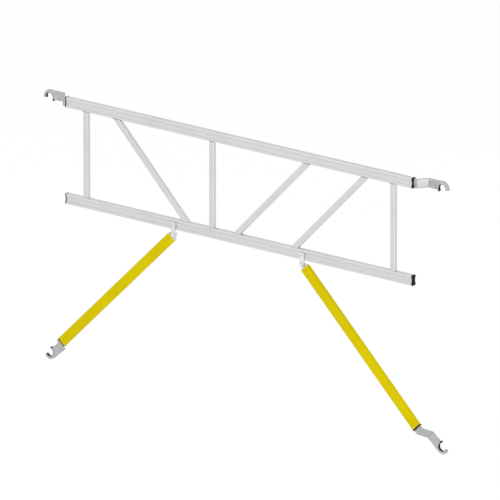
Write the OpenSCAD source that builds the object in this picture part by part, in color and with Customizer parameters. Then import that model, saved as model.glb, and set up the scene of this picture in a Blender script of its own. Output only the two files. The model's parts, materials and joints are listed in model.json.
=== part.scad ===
// Lattice guardrail section for a mobile scaffold tower, with two hinged struts.
// Millimetres. X runs along the chords, Y towards the back, Z up.
// The origin is the centre of the left upper hook's jaw, on the axis of the rung that it grips.

/* [Overall] */
// Distance between the jaw axes of the left and right upper hooks
hook_span = 2450; // [2040:10:3000]
// Distance between the centre lines of the two chords
chord_pitch = 500; // [400:5:620]

/* [Chords] */
// Height of the chord section
chord_h = 54; // [45:1:66]
// Depth of the chord section, front to back
chord_d = 28; // [26:1:40]
// Outer corner radius of the chord section
chord_r = 6; // [3:0.5:8]
// Wall thickness of the chord
chord_wall = 2.5; // [1.5:0.1:3]
// Height of the groove along the front and the back of the chord
groove_h = 26; // [20:1:30]
// Depth of that groove
groove_d = 4; // [2:0.5:5]

/* [Posts and braces] */
// Width of the infill tube, along the chord
infill_w = 30; // [24:1:40]
// Depth of the infill tube
infill_d = 20; // [16:1:24]
// Corner radius of the infill tube
infill_r = 3; // [2:0.5:5]
// Wall thickness of the infill tube
infill_wall = 2; // [1.5:0.1:3]
// Distance from a chord's end to the centre of its end post
end_post_inset = 120; // [60:5:200]
// How far the middle post stands to the left of mid-span
middle_post_offset = 168; // [0:2:260]
// Slope of the braces above the horizontal, in degrees
brace_angle = 45.7; // [42:0.1:60]
// How far each brace stands off the even spacing of its bay, left to right
brace_nudge = [14, 0, -16]; // [-30:1:30]

/* [Struts] */
// Distance from a jaw's axis to the strut pivot on the same side, along the chord
pivot_inset = 823; // [740:1:920]
// Gap under the bottom chord when the strut is folded up against it
fold_gap = 0.3; // [0.3:0.1:15]
// Angle of the strut below the horizontal, as it stands in use
strut_angle = 44.6; // [10:0.1:85]
// Length of the coated strut tube
strut_len = 974; // [700:2:1200]
// Width of the strut tube, in the plane of its swing
strut_w = 50; // [40:1:60]
// Depth of the strut tube
strut_d = 25; // [22:1:30]
// Corner radius of the strut tube
strut_r = 5; // [3:0.5:7]
// Wall thickness of the strut tube
strut_wall = 2.5; // [1.5:0.1:3]
// Distance from the pivot to the start of the strut tube
strut_start = 18; // [18:0.5:40]
// Thickness of the tongue on the strut's head
tongue_t = 6; // [4:0.5:8]
// Radius of the rounded eye at the end of the tongue
eye_r = 12.5; // [11:0.5:14]

/* [Pivot brackets] */
// Width of the bracket plate
bracket_w = 25; // [24:1:28]
// Thickness of the bracket plate
bracket_t = 8; // [6:0.5:10]
// Diameter of the pivot bolt
bolt_d = 10; // [8:1:12]
// Radial running clearance of the bush on its bolt
running_gap = 0.06; // [0.02:0.01:0.1]
// Free play on each side of the strut's head
side_play = 0.3; // [0.2:0.05:0.6]
// Wall thickness of the bush
bush_wall = 2.4; // [1.5:0.1:3]
// Thickness of the bush's flange
bush_flange = 1; // [0.8:0.1:1.5]

/* [Hooks] */
// Clear diameter of the lined jaw
jaw_bore = 42.6; // [38:0.1:52]
// Thickness of the plastic liner
liner_t = 2; // [1.5:0.1:3]
// Width of the curved jaw around the liner
jaw_rim = 13.5; // [10:0.5:16]
// Thickness of the jaw, front to back
jaw_t = 14; // [12:0.5:18]
// Thickness of the flat arm
arm_t = 9; // [6:0.5:10]
// Distance from the tube's end to the arm's first bend
first_bend = 26; // [22:1:40]
// How far the jaws stand behind the plane of the chords
joggle_back = 48; // [30:1:70]
// Slope of the arm between its two bends, in degrees
joggle_angle = 55.5; // [40:0.5:65]
// Distance from the arm's second bend to the jaw's axis
jaw_run = 88; // [76:1:110]
// Distance from the jaw's axis to the shoulder where the arm thickens
jaw_shoulder = 42; // [40:1:50]
// How far the jaw's outer tip reaches past its axis
tip_reach = 6; // [0:0.5:10]
// Radius of the bead at the liner's arm end
bead_r = 4.5; // [2.5:0.1:5]
// How far the centre of the bead hangs below the arm
bead_drop = 2.4; // [0:0.1:3]
// Turn of the lower jaws towards the horizontal, in degrees
lower_tilt = 4; // [0:0.5:6]
// Length of the hook's root inside its tube
root_len = 64; // [50:1:80]

/* [Caps and fasteners] */
// Thickness of the plastic caps and collars
cap_t = 6; // [4:0.5:8]
// How far a cap stands proud of its tube all round
cap_lip = 0.5; // [0:0.1:1]
// Height of the collar left above and below the arm that passes through it
collar_rim = 1.3; // [1:0.1:4]
// Length of a cap's plug inside the tube
plug_len = 22; // [15:1:30]
// Diameter of the rivets
rivet_d = 6; // [5:0.5:6.5]
// Distance between two rivets in a row
rivet_pitch = 28; // [22:1:32]
// Distance from a tube's end to its first rivet
rivet_inset = 18; // [14:1:20]
// Clearance between fixed pieces that slide together
fit_gap = 0.2; // [0.1:0.05:0.3]

/* [Hidden] */
$fn = 64;
over = 1;
mid_x = hook_span / 2;
pivot_x = mid_x - pivot_inset;
pivot_drop = strut_w / 2 + cap_lip + fold_gap;
chord_y = -joggle_back;
// Both kinds of hook share one arm, which passes through the smaller of the two collars
arm_w = min(chord_h, strut_w) + 2 * (cap_lip - fit_gap - collar_rim);
upper_root_w = min(arm_w, chord_h - 2 * chord_wall - 2 * fit_gap);
jaw_r = jaw_bore / 2;
seat_r = jaw_r + liner_t;
jaw_out_r = seat_r + jaw_rim;
jaw_offset = jaw_out_r - arm_w / 2;
bead_at = jaw_r + bead_r + fit_gap;
bead_angle = asin((arm_w / 2 - jaw_offset + bead_drop) / bead_at);
upper_run = joggle_back / tan(joggle_angle);
upper_reach = first_bend + upper_run + jaw_run;
chord_len = hook_span - 2 * upper_reach;
top_z = jaw_offset;
bottom_z = top_z - chord_pitch;
waist_d = chord_d - 2 * groove_d;
end_post_x = chord_len / 2 - end_post_inset;
infill_h = chord_pitch - chord_h;
brace_run = infill_h / tan(brace_angle);
left_bay = end_post_x - middle_post_offset;
right_bay = end_post_x + middle_post_offset;
brace_x = [
    -end_post_x + left_bay / 2 + brace_nudge[0],
    -middle_post_offset + right_bay / 3 + brace_nudge[1],
    -middle_post_offset + right_bay * 2 / 3 + brace_nudge[2]
];
pivot_z = bottom_z - chord_h / 2 - pivot_drop;
// The bracket seats on the floor of the front groove, and the strut's tongue runs behind it
tongue_front = -waist_d / 2 + side_play + bush_flange;
strut_y = tongue_front + tongue_t / 2;
lower_back = joggle_back - strut_y;
strut_end = strut_start + strut_len;
bush_r = bolt_d / 2 + running_gap + bush_wall;
bush_flange_r = eye_r - 1.5;
head_flange_t = 3;
head_plug_len = 60;
nut_af = bolt_d * 1.7;
nut_t = bolt_d * 0.8;
bolt_tail = 3;
bolt_head_t = bolt_d * 0.64;
washer_t = 2;
washer_r = bolt_d;
washer_front = tongue_front + tongue_t + side_play;
nut_front = washer_front + washer_t;
bracket_rivet_d = 5;
bracket_rivet_x = 6.5;
rivet_head_t = 2;

// ---- shared shapes ----

// Rectangle with round corners, centred
module round_rect(w, h, r) {
    square([w - 2 * r, h], center = true);
    square([w, h - 2 * r], center = true);
    for (x = [-1, 1], y = [-1, 1])
        translate([x * (w / 2 - r), y * (h / 2 - r)]) circle(r = r);
}

// Chord outline taken in by a margin, or grown by a negative one: depth along x, height along y
module chord_outline(margin = 0) {
    difference() {
        round_rect(chord_d - 2 * margin, chord_h - 2 * margin, chord_r - margin);
        for (side = [-1, 1])
            translate([side * chord_d / 2, 0])
                square([2 * (groove_d + margin), groove_h + 2 * margin], center = true);
    }
}

// Extrudes a front-to-back section along x, with its height along z
module along_x(length) {
    rotate([90, 0, 90]) linear_extrude(height = length) children();
}

// Extrudes an outline drawn in x and z along y, centred on y = 0
module across_y(depth) {
    rotate([90, 0, 0]) linear_extrude(height = depth, center = true) children();
}

// Round bar along y, centred on y = 0
module y_bar(r, length) {
    rotate([90, 0, 0]) cylinder(r = r, h = length, center = true);
}

// Children are drawn for the right side, in a frame centred at mid-span and in the chords' plane
module side_of(side) {
    translate([mid_x, chord_y, 0])
        mirror([side == "left" ? 1 : 0, 0, 0]) children();
}

// Moves to the end of the top chord, with x outwards
module at_top_end() {
    translate([chord_len / 2, 0, top_z]) children();
}

// Moves to the pivot, with x down along the strut
module at_strut() {
    translate([pivot_x, strut_y, pivot_z])
        rotate([0, strut_angle, 0]) children();
}

// Moves to the lower end of the strut tube, turned over so that the jaw opens upwards
module at_strut_end() {
    at_strut() translate([strut_end, 0, 0]) mirror([0, 0, 1]) children();
}

// Places of the rivets inside the end of a tube
module rivet_places() {
    for (i = [0, 1])
        translate([-rivet_inset - i * rivet_pitch, 0, 0]) children();
}

// Rivet along y with a low domed head at both ends
module rivet(d, grip) {
    y_bar(d / 2, grip);
    for (end = [-1, 1])
        rotate([-90 * end, 0, 0]) translate([0, 0, grip / 2])
            cylinder(r1 = d * 0.95, r2 = d * 0.55, h = rivet_head_t);
}

// Hexagonal prism along y
module y_hex(across_flats, length) {
    rotate([90, 0, 0])
        cylinder(r = across_flats / 2 / cos(30), h = length, center = true, $fn = 6);
}

// ---- guardrail frame ----

module chord_tube() {
    translate([-chord_len / 2, 0, 0]) along_x(chord_len) difference() {
        chord_outline();
        chord_outline(chord_wall);
    }
}

module top_chord() {
    color("gainsboro") translate([mid_x, chord_y, top_z]) difference() {
        chord_tube();
        for (side = [0, 1]) mirror([side, 0, 0]) translate([chord_len / 2, 0, 0])
            rivet_places() y_bar(rivet_d / 2 + fit_gap / 2, chord_d + over);
    }
}

module bottom_chord() {
    color("gainsboro") translate([mid_x, chord_y, bottom_z]) difference() {
        chord_tube();
        for (side = [-1, 1], x = [-1, 1])
            translate([side * pivot_x + x * bracket_rivet_x, 0, 0])
                y_bar(bracket_rivet_d / 2 + fit_gap / 2, chord_d + over);
    }
}

module infill_tube(length) {
    linear_extrude(height = length, center = true) difference() {
        round_rect(infill_w, infill_d, infill_r);
        round_rect(infill_w - 2 * infill_wall, infill_d - 2 * infill_wall, infill_r - infill_wall / 2);
    }
}

module post(x) {
    color("whitesmoke") translate([mid_x + x, chord_y, (top_z + bottom_z) / 2])
        infill_tube(infill_h);
}

// A brace leans by its angle and is cut flush with both chords
module brace(x, lean) {
    reach = 2 * infill_h / sin(brace_angle);
    color("whitesmoke") translate([mid_x + x, chord_y, (top_z + bottom_z) / 2]) intersection() {
        rotate([0, lean * (90 - brace_angle), 0]) infill_tube(reach);
        cube([2 * reach, 2 * infill_d, infill_h], center = true);
    }
}

module bottom_cap(side) {
    color("black") side_of(side) translate([chord_len / 2, 0, bottom_z]) {
        along_x(cap_t) chord_outline(-cap_lip);
        translate([-plug_len, 0, 0]) along_x(plug_len + over) chord_outline(chord_wall + fit_gap);
    }
}

module top_collar(side) {
    color("black") side_of(side) at_top_end() along_x(cap_t) difference() {
        chord_outline(-cap_lip);
        square([arm_t + 2 * fit_gap, arm_w + 2 * fit_gap], center = true);
    }
}

// ---- hooks ----

// Plan of the arm from the tube's end to just past its second bend
module joggle_plan(back) {
    bend = (arm_t / 2) * tan(joggle_angle / 2);
    second = first_bend + back / tan(joggle_angle);
    tail = second + bend + arm_t / 2;
    polygon([
        [0, -arm_t / 2],
        [first_bend + bend, -arm_t / 2],
        [second + bend, back - arm_t / 2],
        [tail, back - arm_t / 2],
        [tail, back + arm_t / 2],
        [second - bend, back + arm_t / 2],
        [first_bend - bend, arm_t / 2],
        [0, arm_t / 2]
    ]);
}

// Everything below the mouth, seen from the front with the jaw's axis at the origin and the arm on the left
module mouth(arm_drop) {
    far = 2 * jaw_out_r;
    translate([-far, -far - arm_drop]) square(far);
    translate([0, -far - tip_reach]) square(far);
}

// The liner ends in a bead on the arm's side
module bead(gap = 0) {
    translate([-bead_at * cos(bead_angle), -bead_at * sin(bead_angle)]) circle(r = bead_r + gap);
}

// Front view of the jaw and the thick end of the arm
module jaw_outline() {
    difference() {
        union() {
            circle(r = jaw_out_r);
            translate([-jaw_shoulder, jaw_offset - arm_w / 2]) square([jaw_shoulder, arm_w]);
        }
        circle(r = seat_r);
        mouth(arm_w / 2 - jaw_offset);
        bead(fit_gap / 2);
    }
}

module liner_outline() {
    difference() {
        union() {
            difference() {
                circle(r = seat_r - fit_gap / 4);
                mouth(bead_at * sin(bead_angle));
            }
            bead();
        }
        circle(r = jaw_r);
    }
}

// Moves from the tube's end to the jaw's axis
module at_jaw(back, tilt) {
    translate([first_bend + back / tan(joggle_angle), back, 0]) rotate([0, tilt, 0])
        translate([jaw_run, 0, -jaw_offset]) children();
}

// Hook with its root inside the tube: x outwards, jaw open downwards, y = 0 on the tube's centre
module hook(back, tilt, root_w, root_t) {
    arm_from = -jaw_run + arm_t / 2;
    difference() {
        union() {
            translate([-root_len, -root_t / 2, -root_w / 2]) cube([root_len, root_t, root_w]);
            translate([-over, -arm_t / 2, -root_w / 2]) cube([2 * over, arm_t, root_w]);
            translate([0, 0, -arm_w / 2]) linear_extrude(height = arm_w) joggle_plan(back);
            at_jaw(back, tilt) {
                across_y(jaw_t) jaw_outline();
                translate([arm_from, -arm_t / 2, jaw_offset - arm_w / 2])
                    cube([-jaw_shoulder - arm_from + over, arm_t, arm_w]);
            }
        }
        rivet_places() y_bar(rivet_d / 2 + fit_gap / 2, root_t + over);
    }
}

module liner(back, tilt) {
    at_jaw(back, tilt) across_y(jaw_t + 2 * fit_gap) liner_outline();
}

module upper_hook(side) {
    color("silver") side_of(side) at_top_end()
        hook(joggle_back, 0, upper_root_w, waist_d - 2 * chord_wall - 2 * fit_gap);
}

module upper_liner(side) {
    color("black") side_of(side) at_top_end() liner(joggle_back, 0);
}

module upper_rivets(side) {
    color("silver") side_of(side) at_top_end() rivet_places() rivet(rivet_d, waist_d);
}

// ---- pivots ----

// The plate drops from the front groove, reaches over the lower edge of the chord and rounds off at the pivot
module pivot_bracket(side) {
    plate_top = bottom_z + groove_h / 2 - fit_gap * 2;
    edge_h = (chord_h - groove_h) / 2;
    color("silver") side_of(side) difference() {
        translate([pivot_x, -waist_d / 2 - bracket_t / 2, pivot_z]) union() {
            y_bar(bracket_w / 2, bracket_t);
            translate([-bracket_w / 2, -bracket_t / 2, 0])
                cube([bracket_w, bracket_t, plate_top - pivot_z]);
        }
        translate([0, -chord_d / 2 - fit_gap, bottom_z - chord_h / 2 - fit_gap])
            cube([chord_len / 2, groove_d + fit_gap + over, edge_h + 2 * fit_gap]);
        translate([pivot_x, -chord_d / 2, pivot_z]) y_bar(bolt_d / 2 + fit_gap / 2, 2 * chord_d);
        for (x = [-1, 1])
            translate([pivot_x + x * bracket_rivet_x, -chord_d / 2, bottom_z])
                y_bar(bracket_rivet_d / 2 + fit_gap / 2, 2 * chord_d);
    }
}

module bracket_rivets(side) {
    grip = waist_d + bracket_t;
    color("silver") side_of(side) for (x = [-1, 1])
        translate([pivot_x + x * bracket_rivet_x, -bracket_t / 2, bottom_z])
            rivet(bracket_rivet_d, grip);
}

// Moves to the pivot axis at a given depth, measured from the chords' plane
module at_pivot(y) {
    translate([pivot_x, y, pivot_z]) children();
}

module pivot_bolt(side) {
    head_back = -waist_d / 2 - bracket_t;
    shank = nut_front + nut_t + bolt_tail - head_back;
    color("silver") side_of(side) {
        at_pivot(head_back - bolt_head_t / 2) y_hex(nut_af, bolt_head_t);
        at_pivot(head_back + shank / 2) y_bar(bolt_d / 2, shank);
    }
}

module pivot_washer(side) {
    color("silver") side_of(side) at_pivot(washer_front + washer_t / 2) difference() {
        y_bar(washer_r, washer_t);
        y_bar(bolt_d / 2 + fit_gap / 2, washer_t + over);
    }
}

module pivot_nut(side) {
    color("silver") side_of(side) at_pivot(nut_front + nut_t / 2) difference() {
        y_hex(nut_af, nut_t);
        y_bar(bolt_d / 2 + fit_gap / 4, nut_t + over);
    }
}

// ---- struts ----

module strut_tube(side) {
    color("gold") side_of(side) at_strut() difference() {
        translate([strut_start, 0, 0]) along_x(strut_len) difference() {
            round_rect(strut_d, strut_w, strut_r);
            round_rect(strut_d - 2 * strut_wall, strut_w - 2 * strut_wall, strut_r - strut_wall);
        }
        translate([strut_end, 0, 0]) rivet_places() y_bar(rivet_d / 2 + fit_gap / 2, strut_d + over);
        head_rivet_places() y_bar(rivet_d / 2 + fit_gap / 2, strut_d + over);
    }
}

// Rivets at the pivot end of the strut tube
module head_rivet_places() {
    translate([strut_start, 0, 0]) mirror([1, 0, 0]) rivet_places() children();
}

// Point where a line from p touches a circle of radius r at the origin
function touch(p, r) = r * [
    cos(atan2(p[1], p[0]) + acos(r / norm(p))),
    sin(atan2(p[1], p[0]) + acos(r / norm(p)))
];

module tongue_outline() {
    root = [strut_start - head_flange_t + over, strut_w / 2 - 2];
    meet = touch(root, eye_r);
    circle(r = eye_r);
    polygon([[0, 0], meet, root, [root[0], -root[1]], [meet[0], -meet[1]]]);
}

module strut_head(side) {
    plug_w = strut_w - 2 * strut_wall - 2 * fit_gap;
    plug_d = strut_d - 2 * strut_wall - 2 * fit_gap;
    plug_r = strut_r - strut_wall;
    color("silver") side_of(side) at_strut() difference() {
        union() {
            across_y(tongue_t) tongue_outline();
            translate([strut_start - head_flange_t, 0, 0])
                along_x(head_flange_t) round_rect(strut_d - 1, strut_w - 1, strut_r - 0.5);
            translate([strut_start - over, 0, 0])
                along_x(head_plug_len + over) round_rect(plug_d, plug_w, plug_r);
        }
        y_bar(bush_r + fit_gap / 4, tongue_t + over);
        head_rivet_places() y_bar(rivet_d / 2 + fit_gap / 2, strut_d + over);
    }
}

module head_rivets(side) {
    color("silver") side_of(side) at_strut() head_rivet_places() rivet(rivet_d, strut_d);
}

// Flanged bush: the flange runs between the bracket and the tongue
module pivot_bush(side) {
    color("dimgray") side_of(side) at_strut() difference() {
        union() {
            y_bar(bush_r, tongue_t);
            translate([0, -tongue_t / 2 - bush_flange / 2, 0]) y_bar(bush_flange_r, bush_flange);
        }
        y_bar(bolt_d / 2 + running_gap, tongue_t + 2 * bush_flange + over);
    }
}

module strut_collar(side) {
    color("black") side_of(side) at_strut_end() along_x(cap_t) difference() {
        round_rect(strut_d + 2 * cap_lip, strut_w + 2 * cap_lip, strut_r + cap_lip);
        square([arm_t + 2 * fit_gap, arm_w + 2 * fit_gap], center = true);
    }
}

module lower_hook(side) {
    color("silver") side_of(side) at_strut_end()
        hook(lower_back, lower_tilt, strut_w - 2 * strut_r, strut_d - 2 * strut_wall - 2 * fit_gap);
}

module lower_liner(side) {
    color("black") side_of(side) at_strut_end() liner(lower_back, lower_tilt);
}

module lower_rivets(side) {
    color("silver") side_of(side) at_strut_end() rivet_places() rivet(rivet_d, strut_d);
}

// ---- nodes ----

top_chord();
bottom_chord();
post(-end_post_x);  // post_left
post(-middle_post_offset);  // post_middle
post(end_post_x);  // post_right
brace(brace_x[0], -1);  // brace_left
brace(brace_x[1], 1);  // brace_middle
brace(brace_x[2], 1);  // brace_right
bottom_cap("left");  // bottom_cap_left
bottom_cap("right");  // bottom_cap_right
top_collar("left");  // top_collar_left
top_collar("right");  // top_collar_right
upper_hook("left");  // upper_hook_left
upper_hook("right");  // upper_hook_right
upper_liner("left");  // upper_liner_left
upper_liner("right");  // upper_liner_right
upper_rivets("left");  // upper_rivets_left
upper_rivets("right");  // upper_rivets_right
pivot_bracket("left");  // pivot_bracket_left
pivot_bracket("right");  // pivot_bracket_right
bracket_rivets("left");  // bracket_rivets_left
bracket_rivets("right");  // bracket_rivets_right
pivot_bolt("left");  // pivot_bolt_left
pivot_bolt("right");  // pivot_bolt_right
pivot_washer("left");  // pivot_washer_left
pivot_washer("right");  // pivot_washer_right
pivot_nut("left");  // pivot_nut_left
pivot_nut("right");  // pivot_nut_right
strut_tube("left");  // strut_tube_left
strut_tube("right");  // strut_tube_right
strut_head("left");  // strut_head_left
strut_head("right");  // strut_head_right
head_rivets("left");  // head_rivets_left
head_rivets("right");  // head_rivets_right
pivot_bush("left");  // pivot_bush_left
pivot_bush("right");  // pivot_bush_right
strut_collar("left");  // strut_collar_left
strut_collar("right");  // strut_collar_right
lower_hook("left");  // lower_hook_left
lower_hook("right");  // lower_hook_right
lower_liner("left");  // lower_liner_left
lower_liner("right");  // lower_liner_right
lower_rivets("left");  // lower_rivets_left
lower_rivets("right");  // lower_rivets_right
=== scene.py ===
import json
import math

import bmesh
import bpy
from mathutils import Matrix, Vector


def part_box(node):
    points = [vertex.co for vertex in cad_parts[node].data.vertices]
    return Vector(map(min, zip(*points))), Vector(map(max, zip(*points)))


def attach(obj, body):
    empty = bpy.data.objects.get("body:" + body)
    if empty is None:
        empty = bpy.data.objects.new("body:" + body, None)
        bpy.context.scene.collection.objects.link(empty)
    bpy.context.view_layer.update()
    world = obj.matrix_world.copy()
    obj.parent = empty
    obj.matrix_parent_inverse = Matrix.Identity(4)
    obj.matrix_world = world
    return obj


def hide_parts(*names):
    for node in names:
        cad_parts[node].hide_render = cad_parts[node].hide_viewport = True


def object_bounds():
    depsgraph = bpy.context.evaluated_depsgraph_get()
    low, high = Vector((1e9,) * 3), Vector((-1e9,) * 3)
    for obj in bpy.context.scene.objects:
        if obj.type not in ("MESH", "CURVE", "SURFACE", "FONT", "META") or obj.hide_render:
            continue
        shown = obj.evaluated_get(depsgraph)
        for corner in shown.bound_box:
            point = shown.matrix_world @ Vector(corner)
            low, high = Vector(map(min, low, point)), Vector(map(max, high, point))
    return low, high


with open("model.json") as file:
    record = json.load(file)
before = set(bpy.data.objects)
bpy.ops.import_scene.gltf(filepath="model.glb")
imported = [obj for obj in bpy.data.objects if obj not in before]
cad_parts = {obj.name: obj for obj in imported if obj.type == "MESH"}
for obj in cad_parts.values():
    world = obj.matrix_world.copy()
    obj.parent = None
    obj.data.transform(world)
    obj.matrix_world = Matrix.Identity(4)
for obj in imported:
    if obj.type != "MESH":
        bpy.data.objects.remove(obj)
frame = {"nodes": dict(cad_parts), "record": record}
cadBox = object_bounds()
print("frame loaded")

record = frame["record"]
jawPlaces = {m["name"]: Vector(m["pos_m"]) for m in record["mounts"]}
strutJoints = {j["child"]: j for j in record["behaviour"]["joints"]}
sides = ("left", "right")
mm = 0.001


# Selecting and editing

def clearSelection():
    if bpy.context.object and bpy.context.object.mode != "OBJECT":
        bpy.ops.object.mode_set(mode="OBJECT")
    bpy.ops.object.select_all(action="DESELECT")


def makeActive(piece):
    clearSelection()
    piece.select_set(True)
    bpy.context.view_layer.objects.active = piece


def applyPlace():
    bpy.ops.object.transform_apply(location=True, rotation=True, scale=True)


def nameIt(name):
    piece = bpy.context.object
    piece.name = name
    piece.data.name = name
    applyPlace()
    return piece


def addBox(name, low, high):
    clearSelection()
    low, high = Vector(low), Vector(high)
    bpy.ops.mesh.primitive_cube_add(size=1, location=(low + high) / 2, scale=high - low)
    return nameIt(name)


def addRod(name, radius, front, back, at=(0, 0), vertices=48):  # a round bar along y
    clearSelection()
    bpy.ops.mesh.primitive_cylinder_add(
        vertices=vertices, radius=radius, depth=back - front,
        location=(at[0], (front + back) / 2, at[1]), rotation=(math.pi / 2, 0, 0))
    return nameIt(name)


def editMode():
    bpy.ops.object.mode_set(mode="EDIT")


def objectMode():
    bpy.ops.object.mode_set(mode="OBJECT")


def choose(kind, test):
    bpy.ops.mesh.select_mode(type=kind)
    bpy.ops.mesh.select_all(action="DESELECT")
    mesh = bpy.context.object.data
    shell = bmesh.from_edit_mesh(mesh)
    parts = {"VERT": shell.verts, "EDGE": shell.edges, "FACE": shell.faces}[kind]
    for part in parts:
        if test(part):
            part.select_set(True)
    shell.select_flush_mode()
    bmesh.update_edit_mesh(mesh)


def runsAlong(axis):  # edges that run along one axis
    def test(edge):
        way = edge.verts[1].co - edge.verts[0].co
        return abs(way[axis]) > 0.999 * way.length
    return test


def midOf(edge):
    return (edge.verts[0].co + edge.verts[1].co) / 2


def cutAcross(axis, place):
    bpy.ops.mesh.select_all(action="SELECT")
    point, normal = [0, 0, 0], [0, 0, 0]
    point[axis], normal[axis] = place, 1
    bpy.ops.mesh.bisect(plane_co=point, plane_no=normal)


def cleanUp(piece):
    makeActive(piece)
    editMode()
    bpy.ops.mesh.select_all(action="SELECT")
    bpy.ops.mesh.remove_doubles(threshold=0.00001)
    bpy.ops.mesh.delete_loose()
    bpy.ops.mesh.select_all(action="SELECT")
    bpy.ops.mesh.normals_make_consistent(inside=False)
    objectMode()


def applyModifier(piece, kind, **values):
    makeActive(piece)
    bpy.ops.object.modifier_add(type=kind)
    modifier = piece.modifiers[-1]
    for name, value in values.items():
        setattr(modifier, name, value)
    bpy.ops.object.modifier_apply(modifier=modifier.name)


def combine(piece, tool, how):
    applyModifier(piece, "BOOLEAN", operation=how, solver="EXACT", object=tool)
    bpy.data.objects.remove(tool)
    return piece


def softenEdges(piece, width, segments=2, angle=35):
    applyModifier(piece, "BEVEL", width=width, segments=segments, limit_method="ANGLE",
                  angle_limit=math.radians(angle), use_clamp_overlap=True)
    return piece


def copyTo(source, name, place):
    makeActive(source)
    bpy.ops.object.duplicate()
    piece = bpy.context.object
    piece.matrix_world = place
    nameIt(name)
    if place.determinant() < 0:
        cleanUp(piece)
    return piece


def hand(piece, body, slotName, finish, *nodes, smooth=35):
    makeActive(piece)
    bpy.ops.object.shade_smooth_by_angle(angle=math.radians(smooth))
    piece.data.materials.clear()
    piece.data.materials.append(finish)
    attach(piece, body)
    if nodes:
        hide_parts(*nodes)
    return piece


# Where things are

topLow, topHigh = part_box("top_chord")
bottomLow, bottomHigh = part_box("bottom_chord")
topMid, bottomMid = (topLow + topHigh) / 2, (bottomLow + bottomHigh) / 2
chordLength = topHigh.x - topLow.x
middle = Matrix.Translation((topMid.x, topMid.y, 0))
mirrorX = Matrix.Scale(-1, 4, (1, 0, 0))
mirrorZ = Matrix.Scale(-1, 4, (0, 0, 1))


def onSide(side, local):  # local places are drawn for the right side
    return middle @ (mirrorX if side == "left" else Matrix()) @ local


strut = {
    "start": 18 * mm,
    "length": 974 * mm,
    "width": 50 * mm,
    "depth": 25 * mm,
    "corner": 5 * mm,
    "wall": 2.5 * mm,
}
rightJoint = strutJoints["right_strut"]
pivot = Vector((rightJoint["pos_m"][0] - topMid.x, rightJoint["pos_m"][1] - topMid.y,
                rightJoint["pos_m"][2]))
strutTurn = math.radians(rightJoint["range_deg"][1])  # folded up, the strut lies along the chord
atStrut = Matrix.Translation(pivot) @ Matrix.Rotation(strutTurn, 4, "Y")
strutEnd = strut["start"] + strut["length"]
atStrutEnd = atStrut @ Matrix.Translation((strutEnd, 0, 0)) @ mirrorZ
atTopEnd = Matrix.Translation((chordLength / 2, 0, topMid.z))
atBottomEnd = Matrix.Translation((chordLength / 2, 0, bottomMid.z))


# Materials

def newFinish(name, color, metallic, roughness):
    finish = bpy.data.materials.new(name)
    finish.use_nodes = True
    shader = finish.node_tree.nodes["Principled BSDF"]
    shader.inputs["Base Color"].default_value = (*color, 1)
    shader.inputs["Metallic"].default_value = metallic
    shader.inputs["Roughness"].default_value = roughness
    return finish


def addNode(finish, kind, values=None, **settings):
    node = finish.node_tree.nodes.new(kind)
    for name, value in settings.items():
        setattr(node, name, value)
    for name, value in (values or {}).items():
        node.inputs[name].default_value = value
    return node


def join(finish, output, socket):
    finish.node_tree.links.new(output, socket)


def shaderOf(finish):
    return finish.node_tree.nodes["Principled BSDF"]


def placeNode(finish, turn=0.0, stretch=(1, 1, 1)):
    coordinates = addNode(finish, "ShaderNodeTexCoord")
    mapping = addNode(finish, "ShaderNodeMapping", {"Rotation": (0, turn, 0), "Scale": stretch},
                      vector_type="TEXTURE")
    join(finish, coordinates.outputs["Object"], mapping.inputs["Vector"])
    return mapping.outputs["Vector"]


def noiseNode(finish, place, scale, detail=3.0, roughness=0.55):
    noise = addNode(finish, "ShaderNodeTexNoise",
                    {"Scale": scale, "Detail": detail, "Roughness": roughness})
    join(finish, place, noise.inputs["Vector"])
    return noise.outputs["Fac"]


def rampNode(finish, source, stops):
    ramp = addNode(finish, "ShaderNodeValToRGB")
    band = ramp.color_ramp
    while len(band.elements) < len(stops):
        band.elements.new(0.5)
    for element, (position, color) in zip(band.elements, stops):
        element.position = position
        element.color = (*color, 1)
    join(finish, source, ramp.inputs["Fac"])
    return ramp.outputs["Color"]


def rangeNode(finish, source, low, high, fromLow=0.3, fromHigh=0.7):
    node = addNode(finish, "ShaderNodeMapRange",
                   {"From Min": fromLow, "From Max": fromHigh, "To Min": low, "To Max": high})
    join(finish, source, node.inputs["Value"])
    return node.outputs["Result"]


def bumpNode(finish, source, distance, strength=1.0, below=None):
    bump = addNode(finish, "ShaderNodeBump", {"Distance": distance, "Strength": strength})
    join(finish, source, bump.inputs["Height"])
    if below:
        join(finish, below, bump.inputs["Normal"])
    return bump.outputs["Normal"]


def tone(color, factor):
    return tuple(min(1, c * factor) for c in color)


aluminium = {
    "color": (0.63, 0.63, 0.635),
    "roughness": (0.38, 0.52),
    "cloudScale": 7,
    "cloudDepth": 0.04,
    "lineStretch": (0.25, 0.0016, 0.0016),
    "lineShade": (0.9, 0.9, 0.905),
    "lineShare": 0.8,
    "lineBump": 0.00004,
    "scuffScale": 260,
    "scuffBump": 0.00003,
}


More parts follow.
